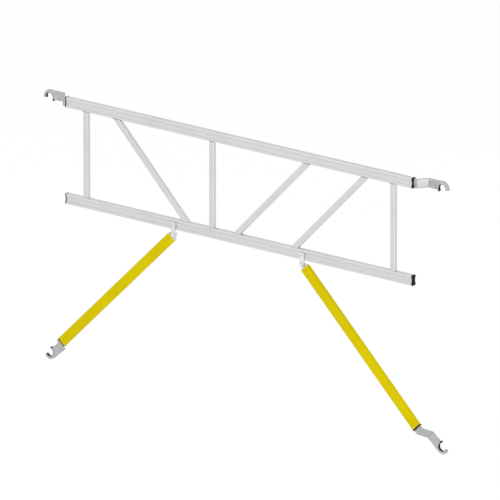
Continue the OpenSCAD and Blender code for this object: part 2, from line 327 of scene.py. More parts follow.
def drawnAluminium(name, turn):  # drawing lines run along the tube, which leans by turn
    finish = newFinish(name, aluminium["color"], 1, aluminium["roughness"][0])
    shader = shaderOf(finish)
    plain = placeNode(finish)
    along = placeNode(finish, turn, aluminium["lineStretch"])
    clouds = noiseNode(finish, plain, aluminium["cloudScale"], 5)
    lines = noiseNode(finish, along, 1.0, 4, 0.6)
    depth = aluminium["cloudDepth"]
    color = aluminium["color"]
    cloudColor = rampNode(finish, clouds, [(0.3, tone(color, 1 - depth)), (0.5, color),
                                           (0.72, tone(color, 1 + depth / 2))])
    lineColor = rampNode(finish, lines, [(0.32, aluminium["lineShade"]), (0.5, (1, 1, 1))])
    mix = addNode(finish, "ShaderNodeMix", {"Factor": aluminium["lineShare"]}, data_type="RGBA",
                  blend_type="MULTIPLY")
    join(finish, cloudColor, mix.inputs[6])
    join(finish, lineColor, mix.inputs[7])
    join(finish, mix.outputs[2], shader.inputs["Base Color"])
    join(finish, rangeNode(finish, lines, *aluminium["roughness"]), shader.inputs["Roughness"])
    scuffs = noiseNode(finish, plain, aluminium["scuffScale"], 2)
    low = bumpNode(finish, scuffs, aluminium["scuffBump"])
    join(finish, bumpNode(finish, lines, aluminium["lineBump"], below=low),
         shader.inputs["Normal"])
    return finish


castMetal = {
    "color": (0.455, 0.455, 0.46),
    "roughness": (0.40, 0.55),
    "grainScale": 900,
    "grainBump": 0.00006,
    "cloudScale": 38,
    "cloudDepth": 0.16,
    "dentBump": 0.0003,
    "dentStrength": 0.4,
    # the factor below lightens the strut heads and pivot brackets: painted light that offsets the
    # shade on them
    "headPaintedLight": 1.55,
}


# a colour factor above 1 makes a painted-light copy, lighter than the hooks' cast aluminium
def castAluminium(name, paintedLightFactor=1.0):
    finish = newFinish(name, castMetal["color"], 1, castMetal["roughness"][0])
    shader = shaderOf(finish)
    plain = placeNode(finish)
    clouds = noiseNode(finish, plain, castMetal["cloudScale"], 5, 0.6)
    grain = noiseNode(finish, plain, castMetal["grainScale"], 2)
    color, depth = tone(castMetal["color"], paintedLightFactor), castMetal["cloudDepth"]
    join(finish, rampNode(finish, clouds, [(0.28, tone(color, 1 - depth)), (0.5, color),
                                           (0.74, tone(color, 1 + depth))]),
         shader.inputs["Base Color"])
    join(finish, rangeNode(finish, clouds, *castMetal["roughness"]), shader.inputs["Roughness"])
    dents = bumpNode(finish, clouds, castMetal["dentBump"], castMetal["dentStrength"])
    join(finish, bumpNode(finish, grain, castMetal["grainBump"], below=dents),
         shader.inputs["Normal"])
    return finish


coating = {
    "color": (0.58, 0.474, 0.0002),
    "roughness": (0.55, 0.68),
    "specular": 0.03,
    "cloudScale": 9,
    "cloudShades": (0.94, 1.05),
    "peelScale": 420,
    "peelBump": 0.00007,
}


def powderCoat(name):
    finish = newFinish(name, coating["color"], 0, coating["roughness"][0])
    shader = shaderOf(finish)
    plain = placeNode(finish)
    clouds = noiseNode(finish, plain, coating["cloudScale"], 4)
    peel = noiseNode(finish, plain, coating["peelScale"], 2)
    color, (darker, lighter) = coating["color"], coating["cloudShades"]
    join(finish, rampNode(finish, clouds, [(0.3, tone(color, darker)), (0.5, color),
                                           (0.75, tone(color, lighter))]),
         shader.inputs["Base Color"])
    join(finish, rangeNode(finish, peel, *coating["roughness"]), shader.inputs["Roughness"])
    join(finish, bumpNode(finish, peel, coating["peelBump"]), shader.inputs["Normal"])
    shader.inputs["Specular IOR Level"].default_value = coating["specular"]
    return finish


plastic = {
    "cloudScale": 60,
    "grainScale": 1300,
    "grainBump": 0.00005,
    "grainStrength": 0.8,
}


def mouldedPlastic(name, color, roughness, fleck, specular):
    finish = newFinish(name, color, 0, roughness[0])
    shader = shaderOf(finish)
    shader.inputs["Specular IOR Level"].default_value = specular
    plain = placeNode(finish)
    clouds = noiseNode(finish, plain, plastic["cloudScale"], 4)
    grain = noiseNode(finish, plain, plastic["grainScale"], 2)
    join(finish, rampNode(finish, clouds, [(0.3, color), (0.75, tone(color, fleck))]),
         shader.inputs["Base Color"])
    join(finish, rangeNode(finish, clouds, *roughness), shader.inputs["Roughness"])
    join(finish, bumpNode(finish, grain, plastic["grainBump"], plastic["grainStrength"]),
         shader.inputs["Normal"])
    return finish


brushedMetal = {
    "cloudScale": 130,
    "scratchTurn": 0.6,
    "scratchStretch": (0.004, 0.004, 0.0004),
    "scratchBump": 0.00003,
}


def brushed(name, color, tint, roughness):
    finish = newFinish(name, color, 1, roughness[0])
    shader = shaderOf(finish)
    plain = placeNode(finish)
    clouds = noiseNode(finish, plain, brushedMetal["cloudScale"], 4)
    across = placeNode(finish, brushedMetal["scratchTurn"], brushedMetal["scratchStretch"])
    scratches = noiseNode(finish, across, 1.0, 3)
    join(finish, rampNode(finish, clouds, [(0.3, color), (0.55, tint), (0.8, color)]),
         shader.inputs["Base Color"])
    join(finish, rangeNode(finish, scratches, *roughness), shader.inputs["Roughness"])
    join(finish, bumpNode(finish, scratches, brushedMetal["scratchBump"]), shader.inputs["Normal"])
    return finish


alongTube = drawnAluminium("drawnAluminiumLevel", 0)
upTube = drawnAluminium("drawnAluminiumUpright", math.pi / 2)
hookMetal = castAluminium("castAluminium")
# lighter copy of the cast aluminium for strut heads and pivot brackets; the extra lightness is painted
# light that offsets their shade
headMetalPaintedLight = castAluminium("castAluminiumPaintedLight", castMetal["headPaintedLight"])
yellowCoat = powderCoat("yellowPowderCoat")
blackPlastic = mouldedPlastic("blackPlastic", (0.004, 0.004, 0.0045), (0.5, 0.65), 2.2, 0.14)
greyNylon = mouldedPlastic("greyNylon", (0.35, 0.35, 0.34), (0.35, 0.5), 1.15, 0.5)
zincSteel = brushed("zincSteel", (0.72, 0.725, 0.74), (0.74, 0.73, 0.70), (0.34, 0.48))
rivetMetal = brushed("rivetAluminium", (0.68, 0.68, 0.69), (0.62, 0.62, 0.63), (0.28, 0.42))
weldMetal = brushed("weldAluminium", (0.65, 0.65, 0.655), (0.61, 0.61, 0.62), (0.46, 0.58))
print("materials made")


# Tubes

def hollow(piece, wall):
    cleanUp(piece)
    applyModifier(piece, "SOLIDIFY", thickness=wall, offset=-1, use_even_offset=True,
                  use_quality_normals=True)
    return piece


def roundTube(name, low, high, axis, corner, wall):  # a box tube open at both ends
    tube = addBox(name, low, high)
    editMode()
    choose("EDGE", runsAlong(axis))
    bpy.ops.mesh.bevel(offset=corner, segments=6, affect="EDGES")
    choose("FACE", lambda face: abs(face.normal[axis]) > 0.9)
    bpy.ops.mesh.delete(type="FACE")
    objectMode()
    return hollow(tube, wall)


chord = {
    "corner": 6 * mm,
    "wall": 2.5 * mm,
    "grooveHeight": 26 * mm,
    "grooveDepth": 4 * mm,
    "grooveSlope": 1.6 * mm,
    "grooveRound": 1.1 * mm,
}
near = 0.05 * mm  # how far off a chosen vertex or edge may lie


def grooved(middleZ, halfDepth, halfGroove, depth, slope, rounding):
    # the grooves are pushed in between four cuts, and their edges are rounded
    for place in (halfGroove, halfGroove - slope):
        for end in (-1, 1):
            cutAcross(2, middleZ + end * place)
    for face in (-1, 1):
        choose("VERT", lambda v: abs(v.co.z - middleZ) < halfGroove - slope + near
               and (v.co.y - topMid.y) * face > halfDepth - 2 * near)
        bpy.ops.transform.translate(value=(0, -face * depth, 0))
    lips = (halfGroove, halfGroove - slope)
    choose("EDGE", lambda e: runsAlong(0)(e)
           and abs(e.verts[0].co.y - topMid.y) > halfDepth - depth - 2 * near
           and min(abs(abs(midOf(e).z - middleZ) - lip) for lip in lips) < near)
    bpy.ops.mesh.bevel(offset=rounding, segments=3, affect="EDGES")


def chordTube(name, low, high, node):
    tube = addBox(name, low, high)
    middleZ = (low.z + high.z) / 2
    editMode()
    choose("EDGE", runsAlong(0))
    bpy.ops.mesh.bevel(offset=chord["corner"], segments=6, affect="EDGES")
    choose("FACE", lambda face: abs(face.normal.x) > 0.9)
    bpy.ops.mesh.delete(type="FACE")
    grooved(middleZ, (high.y - low.y) / 2, chord["grooveHeight"] / 2,
            chord["grooveDepth"], chord["grooveSlope"], chord["grooveRound"])
    objectMode()
    hollow(tube, chord["wall"])
    hand(tube, "frame", "mill_aluminium", alongTube, node)


chordTube("topChord", topLow, topHigh, "top_chord")
chordTube("bottomChord", bottomLow, bottomHigh, "bottom_chord")
print("chords made")

infill = {
    "width": 30 * mm,
    "depth": 20 * mm,
    "corner": 3 * mm,
    "wall": 2 * mm,
    "weldLeg": 3.5 * mm,
    "weldSink": 0.5 * mm,
    "weldHeight": 0.9,
    "weldSteps": ((0.52, 0.42), (0.2, 0.42), (0.02, 0.16)),  # shares of the leg left and of the height
    "lumpSize": 4 * mm,
    "lumpHeight": 0.7 * mm,
}


def weldRing(name, width, leg, lean):
    # a bead round the foot of a tube that stands on z = 0 and leans by lean from upright
    long = width / math.cos(lean)
    high = leg * infill["weldHeight"]
    clearSelection()
    bpy.ops.mesh.primitive_plane_add(size=1, location=(0, 0, -infill["weldSink"]))
    bpy.context.object.scale = (long + 2 * leg, infill["depth"] + 2 * leg, 1)
    ring = nameIt(name)
    editMode()
    bpy.ops.mesh.select_mode(type="VERT")
    bpy.ops.mesh.select_all(action="SELECT")
    bpy.ops.mesh.bevel(offset=leg + infill["corner"], segments=4, affect="VERTICES")
    bpy.ops.mesh.select_all(action="SELECT")
    for share, rise in infill["weldSteps"]:
        shell = bmesh.from_edit_mesh(ring.data)
        top = [v.co for v in shell.verts if v.select]
        wide = max(v.x for v in top) - min(v.x for v in top)
        deep = max(v.y for v in top) - min(v.y for v in top)
        step = (high + infill["weldSink"]) * rise
        bpy.ops.mesh.extrude_region_move(
            TRANSFORM_OT_translate={"value": (step * math.tan(lean), 0, step)})
        bpy.ops.transform.resize(value=((long + 2 * leg * share) / wide,
                                        (infill["depth"] + 2 * leg * share) / deep, 1))
    choose("FACE", lambda face: abs(face.normal.z) < 0.95)
    bpy.ops.mesh.subdivide(number_cuts=2)
    objectMode()
    cleanUp(ring)
    lumps = bpy.data.textures.new(name + "Lumps", "CLOUDS")
    lumps.noise_scale = infill["lumpSize"]
    applyModifier(ring, "DISPLACE", texture=lumps, strength=infill["lumpHeight"], mid_level=0.5)
    return ring


def post(name, node):
    low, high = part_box(node)
    tube = roundTube(name, low, high, 2, infill["corner"], infill["wall"])
    hand(tube, "frame", "mill_aluminium", upTube, node)


def brace(name, node, lean):
    low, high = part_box(node)
    mid, rise, run = (low + high) / 2, high.z - low.z, high.x - low.x
    half = infill["width"] / 2
    # the box of a leaning tube is rise * tan(angle) wide, plus its width over cos(angle)
    angle = math.radians(44)
    for _ in range(30):
        angle = math.atan((run - 2 * half / math.cos(angle)) / rise)
    reach = run + rise
    tube = roundTube(name, mid - Vector((half, infill["depth"] / 2, reach / 2)),
                     mid + Vector((half, infill["depth"] / 2, reach / 2)), 2,
                     infill["corner"], infill["wall"])
    editMode()
    bpy.ops.mesh.select_all(action="SELECT")
    bpy.ops.transform.rotate(value=-lean * angle, orient_axis="Y", center_override=mid)
    for place, normal in ((low.z, (0, 0, -1)), (high.z, (0, 0, 1))):
        bpy.ops.mesh.select_all(action="SELECT")
        bpy.ops.mesh.bisect(plane_co=(0, 0, place), plane_no=normal, clear_outer=True,
                            use_fill=True)
    objectMode()
    return tube, mid, angle


posts = {"postLeft": "post_left", "postMiddle": "post_middle", "postRight": "post_right"}
braces = {"braceLeft": ("brace_left", -1), "braceMiddle": ("brace_middle", 1),
          "braceRight": ("brace_right", 1)}
postWeld = weldRing("postWeld", infill["width"], infill["weldLeg"], 0)
for name, node in posts.items():
    post(name, node)
    low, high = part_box(node)
    mid = (low + high) / 2
    for end, height, turn in (("Foot", low.z, Matrix()), ("Head", high.z, mirrorZ)):
        weld = copyTo(postWeld, name + "Weld" + end,
                      Matrix.Translation((mid.x, mid.y, height)) @ turn)
        hand(weld, "frame", "mill_aluminium", weldMetal, smooth=60)
braceWeld = None
for name, (node, lean) in braces.items():
    tube, mid, angle = brace(name, node, lean)
    hand(tube, "frame", "mill_aluminium",
         drawnAluminium("drawnAluminium" + name, math.pi / 2 + lean * angle), node)
    if braceWeld is None:
        braceWeld = weldRing("braceWeld", infill["width"], infill["weldLeg"], angle)
    low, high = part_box(node)
    shift = (high.z - low.z) / 2 * math.tan(angle) * lean
    way = Matrix() if lean > 0 else mirrorX
    upsideDown = Matrix.Rotation(math.pi, 4, "Y")
    for end, height, x, turn in (("Foot", low.z, mid.x - shift, way),
                                 ("Head", high.z, mid.x + shift, upsideDown @ way)):
        weld = copyTo(braceWeld, name + "Weld" + end,
                      Matrix.Translation((x, mid.y, height)) @ turn)
        hand(weld, "frame", "mill_aluminium", weldMetal, smooth=60)
for source in (postWeld, braceWeld):
    bpy.data.objects.remove(source)
print("posts, braces and welds made")

for side in sides:
    tube = roundTube("strutTube" + side.title(),
                     (strut["start"], -strut["depth"] / 2, -strut["width"] / 2),
                     (strutEnd, strut["depth"] / 2, strut["width"] / 2), 0,
                     strut["corner"], strut["wall"])
    placed = copyTo(tube, "strutTubeCoated" + side.title(), onSide(side, atStrut))
    bpy.data.objects.remove(tube)
    hand(placed, side + "_strut", "yellow_coating", yellowCoat, "strut_tube_" + side)
print("strut tubes made")


# Caps and collars

cap = {
    "thick": 6 * mm,
    "lip": 0.5 * mm,
    "edge": 1.2 * mm,
    "plug": 22 * mm,
    "plugInset": 3 * mm,
    "gap": 0.2 * mm,
}
arm = {"width": 48 * mm, "thick": 9 * mm}


def capPlate(name, depth, height, corner, groove):
    plate = addBox(name, (0, -depth / 2, -height / 2), (cap["thick"], depth / 2, height / 2))
    editMode()
    choose("EDGE", runsAlong(0))
    bpy.ops.mesh.bevel(offset=corner, segments=6, affect="EDGES")
    objectMode()
    if groove:
        half, into = chord["grooveHeight"] / 2 - cap["lip"], chord["grooveDepth"] - cap["lip"]
        for face in (-1, 1):
            notch = addBox("notch", (-cap["thick"], -2 * into, -half), (2 * cap["thick"], 0, half))
            makeActive(notch)
            editMode()
            choose("FACE", lambda f: f.normal.y > 0.9)
            bpy.ops.transform.resize(value=(1, 1, (half - chord["grooveSlope"]) / half))
            bpy.ops.transform.translate(value=(0, into, 0))
            choose("FACE", lambda f: f.normal.y < -0.9)
            bpy.ops.transform.translate(value=(0, 2 * into, 0))
            objectMode()
            notch.location = (0, -depth / 2, 0)
            if face > 0:
                notch.scale.y = -1
                notch.location.y = depth / 2
            applyPlace()
            cleanUp(notch)
            combine(plate, notch, "DIFFERENCE")
    return plate


def openSlot(plate):
    halfThick, halfWide = arm["thick"] / 2 + cap["gap"], arm["width"] / 2 + cap["gap"]
    hole = addBox("slot", (-cap["thick"], -halfThick, -halfWide),
                  (2 * cap["thick"], halfThick, halfWide))
    return combine(plate, hole, "DIFFERENCE")


chordDepth, chordHeight = topHigh.y - topLow.y, topHigh.z - topLow.z
grownChord = (chordDepth + 2 * cap["lip"], chordHeight + 2 * cap["lip"],
              chord["corner"] + cap["lip"])
collar = openSlot(capPlate("topCollar", *grownChord, True))
endCap = capPlate("bottomCap", *grownChord, True)
strutRing = openSlot(capPlate("strutCollar", strut["depth"] + 2 * cap["lip"],
                              strut["width"] + 2 * cap["lip"], strut["corner"] + cap["lip"], False))
for plate in (collar, endCap, strutRing):
    cleanUp(plate)
    softenEdges(plate, cap["edge"] / 2, 2, 50)
plugDepth = chordDepth / 2 - chord["grooveDepth"] - cap["plugInset"]
plugHeight = chordHeight / 2 - cap["plugInset"]
plug = addBox("capPlug", (-cap["plug"], -plugDepth, -plugHeight), (1 * mm, plugDepth, plugHeight))
combine(endCap, plug, "UNION")
for side in sides:
    hand(copyTo(collar, "topCollar" + side.title(), onSide(side, atTopEnd)),
         "frame", "black_plastic", blackPlastic, "top_collar_" + side)
    hand(copyTo(endCap, "bottomCap" + side.title(), onSide(side, atBottomEnd)),
         "frame", "black_plastic", blackPlastic, "bottom_cap_" + side)
    hand(copyTo(strutRing, "strutCollar" + side.title(), onSide(side, atStrutEnd)),
         side + "_strut", "black_plastic", blackPlastic, "strut_collar_" + side)
for source in (collar, endCap, strutRing):
    bpy.data.objects.remove(source)
print("caps and collars made")


# Hooks and liners

hook = {
    "firstBend": 26 * mm,
    "slope": math.radians(55.5),
    "bendInside": 3 * mm,
    "jawRun": 88 * mm,
    "jawShoulder": 42 * mm,
    "jawThick": 14 * mm,
    "jawRim": 13.5 * mm,
    "tipReach": 6 * mm,
    "edge": 1.6 * mm,
    "jawEdge": 2.6 * mm,
    "jawSweep": math.radians(100),
    "tipEdge": 1.2 * mm,
    "blockEdge": 1.4 * mm,
    "seatCut": 4 * mm,
    "rimGap": 0.01 * mm,  # keeps the rounded rim within the solid's box
    "armOverlap": 6 * mm,
    "rootLength": 64 * mm,
    "rootGap": 1 * mm,
    "neckInset": 1 * mm,
    "upperRoot": 48 * mm,
    "lowerRoot": 40 * mm,
    "lowerTilt": math.radians(4),
}
liner = {
    "bore": 21.3 * mm,
    "thick": 2 * mm,
    "beadRadius": 4.5 * mm,
    "beadDrop": 2.4 * mm,
    "width": 14.4 * mm,
    "edge": 0.7 * mm,
    "backGap": 0.06 * mm,
}
seatRadius = liner["bore"] + liner["thick"]
jawRadius = seatRadius + hook["jawRim"]
jawRise = jawRadius - arm["width"] / 2  # how far the arm's middle stands above the jaw's axis


def bentArm(name, back, tilt, root):
    # the bar leaves the tube along x, turns back by the slope and then runs on along x
    angle, radius = hook["slope"], hook["bendInside"] + arm["thick"] / 2
    trim = radius * math.tan(angle / 2)
    clearSelection()
    bpy.ops.mesh.primitive_plane_add(size=1, rotation=(0, math.pi / 2, 0))
    bpy.context.object.scale = (arm["width"], arm["thick"], 1)
    bar = nameIt(name)
    editMode()
    bpy.ops.mesh.select_mode(type="VERT")
    bpy.ops.mesh.select_all(action="SELECT")
    bpy.ops.mesh.bevel(offset=hook["edge"], segments=3, affect="VERTICES")
    bpy.ops.mesh.select_all(action="SELECT")

    def push(value):
        bpy.ops.mesh.extrude_region_move(TRANSFORM_OT_translate={"value": value})

    def turn(centre, way):  # spin goes clockwise about its axis
        bpy.ops.mesh.spin(steps=10, angle=-way * angle, center=centre, axis=(0, 0, 1))

    push((hook["firstBend"] - trim, 0, 0))
    turn((hook["firstBend"] - trim, radius, 0), 1)
    length = back / math.sin(angle) - 2 * trim
    push((length * math.cos(angle), length * math.sin(angle), 0))
    secondX = hook["firstBend"] + back / math.tan(angle)
    turn((secondX + trim, back - radius, 0), -1)
    joint = Vector((secondX, back, 0))
    armRun = Vector((hook["jawRun"] - hook["jawShoulder"] + hook["armOverlap"], 0, 0))
    end = joint + Matrix.Rotation(tilt, 3, "Y") @ armRun
    push(end - Vector((secondX + trim, back, 0)))
    if tilt:
        bpy.ops.transform.rotate(value=-tilt, orient_axis="Y", center_override=end)
    objectMode()
    cleanUp(bar)
    depth, height = root
    stem = addBox(name + "Root", (-hook["rootLength"], -depth / 2, -height / 2),
                  (-hook["rootGap"], depth / 2, height / 2))
    halfNeck = height / 2 - hook["neckInset"]
    neck = addBox(name + "Neck", (-2 * hook["rootGap"], -arm["thick"] / 2, -halfNeck),
                  (hook["rootGap"], arm["thick"] / 2, halfNeck))
    combine(stem, neck, "UNION")
    return combine(bar, stem, "UNION"), joint


def roundJaw(name):
    # the curved rim is a rounded section spun from the tip over the top
    inner = seatRadius - hook["seatCut"]
    outer = jawRadius - hook["rimGap"]
    clearSelection()
    bpy.ops.mesh.primitive_plane_add(size=1, location=((inner + outer) / 2, 0, 0))
    bpy.context.object.scale = (outer - inner, hook["jawThick"], 1)
    rim = nameIt(name)
    editMode()
    choose("VERT", lambda v: v.co.x > seatRadius)
    bpy.ops.mesh.bevel(offset=hook["jawEdge"], segments=4, affect="VERTICES")
    bpy.ops.mesh.select_all(action="SELECT")
    bpy.ops.mesh.spin(steps=26, angle=hook["jawSweep"], center=(0, 0, 0), axis=(0, 1, 0))
    choose("FACE", lambda f: abs(f.calc_center_median().z) < near)
    bpy.ops.mesh.extrude_region_move(TRANSFORM_OT_translate={"value": (0, 0, -hook["tipReach"])})
    objectMode()
    cleanUp(rim)
    makeActive(rim)
    editMode()
    choose("EDGE", lambda e: all(abs(v.co.z + hook["tipReach"]) < near for v in e.verts))
    bpy.ops.mesh.bevel(offset=hook["tipEdge"], segments=2, affect="EDGES")
    objectMode()
    block = addBox(name + "Block",
                   (-hook["jawShoulder"], -hook["jawThick"] / 2, jawRadius - arm["width"]),
                   (0, hook["jawThick"] / 2, jawRadius))
    editMode()
    choose("EDGE", lambda e: runsAlong(0)(e) and e.verts[0].co.z > 0)
    bpy.ops.mesh.bevel(offset=hook["jawEdge"], segments=4, affect="EDGES")
    choose("EDGE", lambda e: runsAlong(0)(e) and e.verts[0].co.z < jawRadius - arm["width"] + near)
    bpy.ops.mesh.bevel(offset=hook["blockEdge"], segments=3, affect="EDGES")
    choose("VERT", lambda v: v.co.x < -hook["jawShoulder"] + near)
    bpy.ops.transform.resize(value=(1, arm["thick"] / hook["jawThick"], 1),
                             center_override=(0, 0, 0))
    objectMode()
    combine(rim, block, "UNION")
    seat = addRod("seat", seatRadius, -hook["jawThick"], hook["jawThick"], vertices=96)
    return combine(rim, seat, "DIFFERENCE")


def linerRing(name):
    reach = liner["bore"] + liner["beadRadius"] + cap["gap"]
    beadAngle = math.asin((arm["width"] / 2 - jawRise + liner["beadDrop"]) / reach)
    clearSelection()
    bpy.ops.mesh.primitive_plane_add(size=1, location=(liner["bore"] + liner["thick"] / 2, 0, 0))
    bpy.context.object.scale = (liner["thick"] - liner["backGap"], liner["width"], 1)
    ring = nameIt(name)
    editMode()
    bpy.ops.mesh.select_mode(type="VERT")
    bpy.ops.mesh.select_all(action="SELECT")
    bpy.ops.mesh.bevel(offset=liner["edge"], segments=2, affect="VERTICES")
    bpy.ops.mesh.select_all(action="SELECT")
    dip = math.asin(hook["tipReach"] / liner["bore"])
    bpy.ops.transform.rotate(value=-dip, orient_axis="Y", center_override=(0, 0, 0))
    sweep = math.pi + dip + beadAngle
    bpy.ops.mesh.spin(steps=60, angle=sweep, center=(0, 0, 0), axis=(0, 1, 0))
    objectMode()
    cleanUp(ring)
    place = (-reach * math.cos(beadAngle), -reach * math.sin(beadAngle))
    bead = addRod("bead", liner["beadRadius"], -liner["width"] / 2, liner["width"] / 2, place, 32)
    makeActive(bead)
    editMode()
    choose("FACE", lambda f: abs(f.normal.y) > 0.9)
    bpy.ops.mesh.bevel(offset=liner["edge"], segments=2, affect="EDGES")
    objectMode()
    return combine(ring, bead, "UNION")


jaw = roundJaw("jaw")
ringLiner = linerRing("liner")
chordBack = jawPlaces["upper_right_jaw"].y - topMid.y
strutBack = jawPlaces["lower_right_jaw"].y - rightJoint["pos_m"][1]
waist = chordDepth - 2 * chord["grooveDepth"]
roots = {"upper": (waist - 2 * chord["wall"] - 2 * cap["gap"], hook["upperRoot"]),
         "lower": (strut["depth"] - 2 * strut["wall"] - 2 * cap["gap"], hook["lowerRoot"])}
for level, back, tilt, place in (("upper", chordBack, 0, atTopEnd),
                                 ("lower", strutBack, hook["lowerTilt"], atStrutEnd)):
    bar, joint = bentArm(level + "Arm", back, tilt, roots[level])
    toJaw = (Matrix.Translation(joint) @ Matrix.Rotation(tilt, 4, "Y")
             @ Matrix.Translation((hook["jawRun"], 0, -jawRise)))
    whole = combine(bar, copyTo(jaw, "jawCopy", toJaw), "UNION")
    cleanUp(whole)
    for side in sides:
        body = "frame" if level == "upper" else side + "_strut"
        title = level + "Hook" + side.title()
        hand(copyTo(whole, title, onSide(side, place)), body, "cast_aluminium", hookMetal,
             level + "_hook_" + side, smooth=40)
        hand(copyTo(ringLiner, level + "Liner" + side.title(), onSide(side, place @ toJaw)),
             body, "black_plastic", blackPlastic, level + "_liner_" + side, smooth=40)
    bpy.data.objects.remove(whole)
for source in (jaw, ringLiner):
    bpy.data.objects.remove(source)
print("hooks and liners made")


# Rivets, bolts and brackets

rivet = {
    "inset": 18 * mm,
    "pitch": 28 * mm,
    "shank": 3 * mm,
    "head": 5.6 * mm,
    "rise": 1.95 * mm,
    "domeShare": 0.86,
    "holeInset": 0.42,
    "holeDepth": 0.5,
    "headSink": 0.05 * mm,
    "bracketShank": 2.5 * mm,
    "bracketHead": 0.83,
    "bracketSpread": 6.5 * mm,
}
bracket = {
    "width": 25 * mm,
    "thick": 8 * mm,
    "edge": 0.8 * mm,
    "topEdge": 2 * mm,
    "gap": 0.4 * mm,
    "relief": 0.2 * mm,
}


def rivetShape(name, grip, shank, head):
    body = addRod(name, shank, -grip / 2, grip / 2, vertices=24)
    for end in (-1, 1):
        clearSelection()
        bpy.ops.mesh.primitive_cylinder_add(vertices=24, radius=head, depth=rivet["rise"])
        dome = nameIt("dome")
        editMode()
        choose("EDGE", lambda e: all(v.co.z > 0 for v in e.verts))
        bpy.ops.mesh.bevel(offset=rivet["rise"] * rivet["domeShare"], segments=5, affect="EDGES")
        if end < 0:  # the pulled stem leaves a small hole in the front head
            choose("FACE", lambda f: f.normal.z > 0.95)
            bpy.ops.mesh.inset(thickness=head * rivet["holeInset"])
            bpy.ops.mesh.extrude_region_move(
                TRANSFORM_OT_translate={"value": (0, 0, -rivet["rise"] * rivet["holeDepth"])})
        objectMode()
        turn = Matrix.Rotation(math.radians(90) * -end, 4, "X")
        out = end * (grip / 2 + rivet["rise"] / 2 - rivet["headSink"])
        dome.matrix_world = Matrix.Translation((0, out, 0)) @ turn
        makeActive(dome)
        applyPlace()
        combine(body, dome, "UNION")
    cleanUp(body)
    return body


def rivetRow(name, source, places, body, node, slotName="rivet_metal", finish=rivetMetal):
    copies = [copyTo(source, name + str(i), place) for i, place in enumerate(places)]
    clearSelection()
    for piece in copies:
        piece.select_set(True)
    bpy.context.view_layer.objects.active = copies[0]
    bpy.ops.object.join()
    row = nameIt(name)
    return hand(row, body, slotName, finish, node, smooth=50)


chordRivet = rivetShape("chordRivet", waist, rivet["shank"], rivet["head"])
strutRivet = rivetShape("strutRivet", strut["depth"], rivet["shank"], rivet["head"])
bracketRivet = rivetShape("bracketRivet", waist + bracket["thick"], rivet["bracketShank"],
                          rivet["head"] * rivet["bracketHead"])
inwards = [Matrix.Translation((-rivet["inset"] - i * rivet["pitch"], 0, 0)) for i in (0, 1)]
for side in sides:
    title = side.title()
    rivetRow("upperRivets" + title, chordRivet,
             [onSide(side, atTopEnd @ p) for p in inwards], "frame", "upper_rivets_" + side)
    rivetRow("lowerRivets" + title, strutRivet,
             [onSide(side, atStrutEnd @ p) for p in inwards], side + "_strut",
             "lower_rivets_" + side, "yellow_coating", yellowCoat)
    outwards = [Matrix.Translation((strut["start"] + rivet["inset"] + i * rivet["pitch"], 0, 0))
                for i in (0, 1)]
    rivetRow("headRivets" + title, strutRivet,
             [onSide(side, atStrut @ p) for p in outwards], side + "_strut",
             "head_rivets_" + side, "yellow_coating", yellowCoat)
    spots = [Matrix.Translation((pivot.x + x * rivet["bracketSpread"], -bracket["thick"] / 2,
                                 bottomMid.z)) for x in (-1, 1)]
    rivetRow("bracketRivets" + title, bracketRivet, [onSide(side, p) for p in spots],
             "frame", "bracket_rivets_" + side)
for source in (chordRivet, strutRivet, bracketRivet):
    bpy.data.objects.remove(source)
print("rivets made")

bolt = {
    "radius": 5 * mm,
    "flats": 17 * mm,
    "headThick": 6.4 * mm,
    "nutThick": 8 * mm,
    "washerRadius": 10 * mm,
    "washerThick": 2 * mm,
    "tail": 3 * mm,
    "tongue": 6 * mm,
    "play": 0.3 * mm,
    "flange": 1 * mm,
    "tipEdge": 0.8 * mm,
    "chamfer": 0.085,
    "washerEdge": 0.3 * mm,
    "nutHex": 0.72,
    "nutCrown": 0.44,
    "crownRound": 1.3 * mm,
    "clearance": 0.1 * mm,
    "threadClearance": 0.05 * mm,
}
past = 1 * mm  # how far a piece that cuts or joins another reaches past its face
plateBack = -waist / 2
plateFront = plateBack - bracket["thick"]
drop = bottomMid.z - pivot.z


def bracketPlate(name):
    # the plate is drawn with the pivot at the origin
    half = bracket["width"] / 2
    top = drop + chord["grooveHeight"] / 2 - bracket["gap"]
    plate = addBox(name, (-half, plateFront, -half), (half, plateBack, top))
    editMode()
    choose("EDGE", lambda e: runsAlong(1)(e) and midOf(e).z < 0)
    bpy.ops.mesh.bevel(offset=half * 0.999, segments=12, affect="EDGES")
    choose("EDGE", lambda e: runsAlong(1)(e) and midOf(e).z > drop)
    bpy.ops.mesh.bevel(offset=bracket["topEdge"], segments=3, affect="EDGES")
    objectMode()
    relief = addBox("relief",
                    (-2 * half, -chordDepth / 2 - bracket["relief"],
                     drop - chordHeight / 2 - bracket["relief"]),
                    (2 * half, plateBack + past,
                     drop - chord["grooveHeight"] / 2 + bracket["relief"]))
    combine(plate, relief, "DIFFERENCE")
    cleanUp(plate)
    softenEdges(plate, bracket["edge"], 2, 50)
    hole = addRod("hole", bolt["radius"] + bolt["clearance"], plateFront - past, plateBack + past)
    return combine(plate, hole, "DIFFERENCE")


def hexPrism(name, flats, front, back, chamferFront, chamferBack):
    clearSelection()
    bpy.ops.mesh.primitive_cylinder_add(vertices=6, radius=flats / 2 / math.cos(math.pi / 6),
                                        depth=back - front, location=(0, (front + back) / 2, 0),
                                        rotation=(math.pi / 2, math.pi / 6, 0))
    prism = nameIt(name)
    turned = addRod("turned", flats / 2 / math.cos(math.pi / 6) * 1.01, front, back, vertices=64)
    makeActive(turned)
    editMode()
    for wanted, side in ((chamferFront, -1), (chamferBack, 1)):
        if wanted:
            choose("FACE", lambda f: f.normal.y * side > 0.9)
            bpy.ops.mesh.bevel(offset=flats * bolt["chamfer"], segments=1, affect="EDGES")
    objectMode()
    return combine(prism, turned, "INTERSECT")


